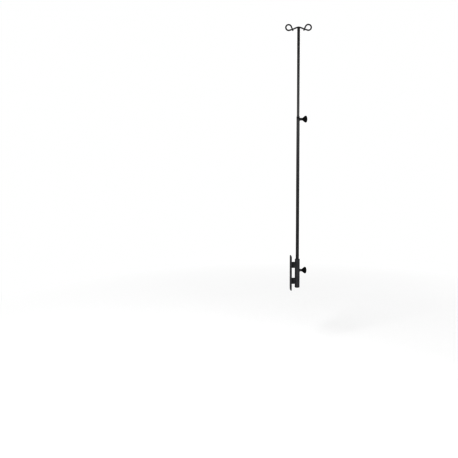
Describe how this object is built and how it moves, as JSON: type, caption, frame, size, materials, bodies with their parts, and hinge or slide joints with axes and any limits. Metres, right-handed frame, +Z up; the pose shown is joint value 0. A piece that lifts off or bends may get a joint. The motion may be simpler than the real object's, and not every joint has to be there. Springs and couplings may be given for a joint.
{
  "type": "telescopic drip pole",
  "caption": "Slim telescopic drip pole with pigtail hooks, a thumb-screw lock and a bracket that fixes it to the side of a treatment chair.",
  "frame": {"origin": "middle of the mounting plate's back face, which lies against the chair", "axes": "+Z up along the pole, +X away from the chair, +Y to the chair's rear"},
  "size_m": [0.1392, 0.06, 1.4209],
  "materials": {
    "chromed_tube": "bright chrome plate on steel tube",
    "chromed_wire": "bright chrome plate on steel wire",
    "zinc_steel": "zinc-plated steel",
    "bracket_paint": "fine-textured black powder coat",
    "black_plastic": "black moulded plastic, satin",
    "nylon": "dark grey nylon"
  },
  "bodies": {
    "bracket": {"mounting_plate": "bracket_paint", "upper_saddle": "bracket_paint", "lower_saddle": "bracket_paint", "receiver_tube": "bracket_paint", "receiver_end_cap": "black_plastic", "upper_bush": "nylon", "lower_bush": "nylon", "receiver_boss": "bracket_paint"},
    "receiver_pad": {"receiver_lock_pad": "nylon"},
    "receiver_thumb_screw": {"receiver_lock_screw": "zinc_steel", "receiver_lock_knob": "black_plastic"},
    "foot": {"foot_plug": "nylon"},
    "lower_pole": {"lower_tube": "chromed_tube", "foot_pin": "zinc_steel", "rod_bush": "nylon", "pole_boss": "chromed_tube"},
    "lock_pad": {"pole_lock_pad": "nylon"},
    "lock_thumb_screw": {"pole_lock_screw": "zinc_steel", "pole_lock_knob": "black_plastic"},
    "glide": {"rod_glide": "nylon"},
    "upper_pole": {"upper_tube": "chromed_tube", "glide_pin": "zinc_steel", "crown_plug": "chromed_wire", "hook_wire": "chromed_wire"}
  },
  "joints": [
    {"name": "receiver_pad_travel", "type": "slide", "parent": "bracket", "child": "receiver_pad", "axis": [1, 0, 0], "range_m": [0, 0.0025]},
    {"name": "receiver_knob_turn", "type": "hinge", "parent": "receiver_pad", "child": "receiver_thumb_screw", "pos_m": [0.06, 0, 0.015], "axis": [1, 0, 0], "range_deg": [0, 720]},
    {"name": "pole_lift", "type": "slide", "parent": "bracket", "child": "foot", "axis": [0, 0, 1], "range_m": [0, 0.15]},
    {"name": "pole_swivel", "type": "hinge", "parent": "foot", "child": "lower_pole", "pos_m": [0.038, 0, 0], "axis": [0, 0, 1], "continuous": true},
    {"name": "lock_pad_travel", "type": "slide", "parent": "lower_pole", "child": "lock_pad", "axis": [1, 0, 0], "range_m": [0, 0.0025]},
    {"name": "lock_knob_turn", "type": "hinge", "parent": "lock_pad", "child": "lock_thumb_screw", "pos_m": [0.06, 0, 0.8355], "axis": [1, 0, 0], "range_deg": [0, 720]},
    {"name": "rod_extend", "type": "slide", "parent": "lower_pole", "child": "glide", "axis": [0, 0, 1], "range_m": [-0.425, 0.435]},
    {"name": "rod_swivel", "type": "hinge", "parent": "glide", "child": "upper_pole", "pos_m": [0.038, 0, 0.4], "axis": [0, 0, 1], "continuous": true}
  ],
  "couplings": [
    {"joint": "receiver_knob_turn", "follows": "receiver_pad_travel", "rad_per_m": 5026.5},
    {"joint": "lock_knob_turn", "follows": "lock_pad_travel", "rad_per_m": 5026.5}
  ]
}
